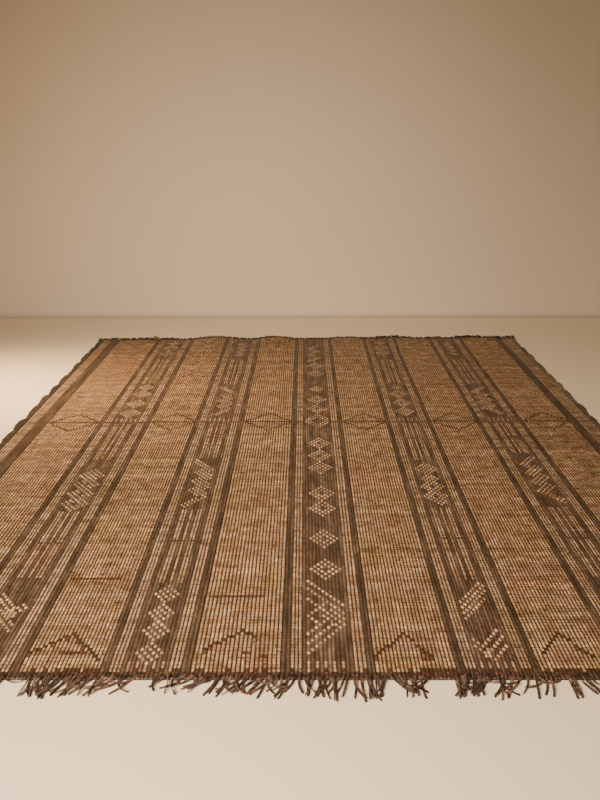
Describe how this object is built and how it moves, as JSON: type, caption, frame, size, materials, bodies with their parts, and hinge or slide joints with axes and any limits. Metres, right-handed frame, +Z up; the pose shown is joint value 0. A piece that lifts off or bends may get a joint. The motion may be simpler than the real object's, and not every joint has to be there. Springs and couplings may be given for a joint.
{
  "type": "woven reed and leather floor mat",
  "caption": "Flat ribbed floor mat of split reed woven with leather, with patterned bands, leather headings, thong fringe at both ends and laced sides.",
  "frame": {"origin": "on the floor, under the middle of the whole mat's box", "axes": "+X across the mat, +Y along its ribs from the near fringe to the far one, +Z up from the floor"},
  "size_m": [2.5268, 3.1782, 0.0162],
  "materials": {
    "reed": "matte dried split reed, straw to tan",
    "leather": "worn dark brown hide, satin where rubbed"
  },
  "bodies": {
    "root": {"woven_mat": "reed", "fringe_near": "leather", "fringe_far": "leather", "binding_left": "leather", "binding_right": "leather"}
  },
  "joints": []
}
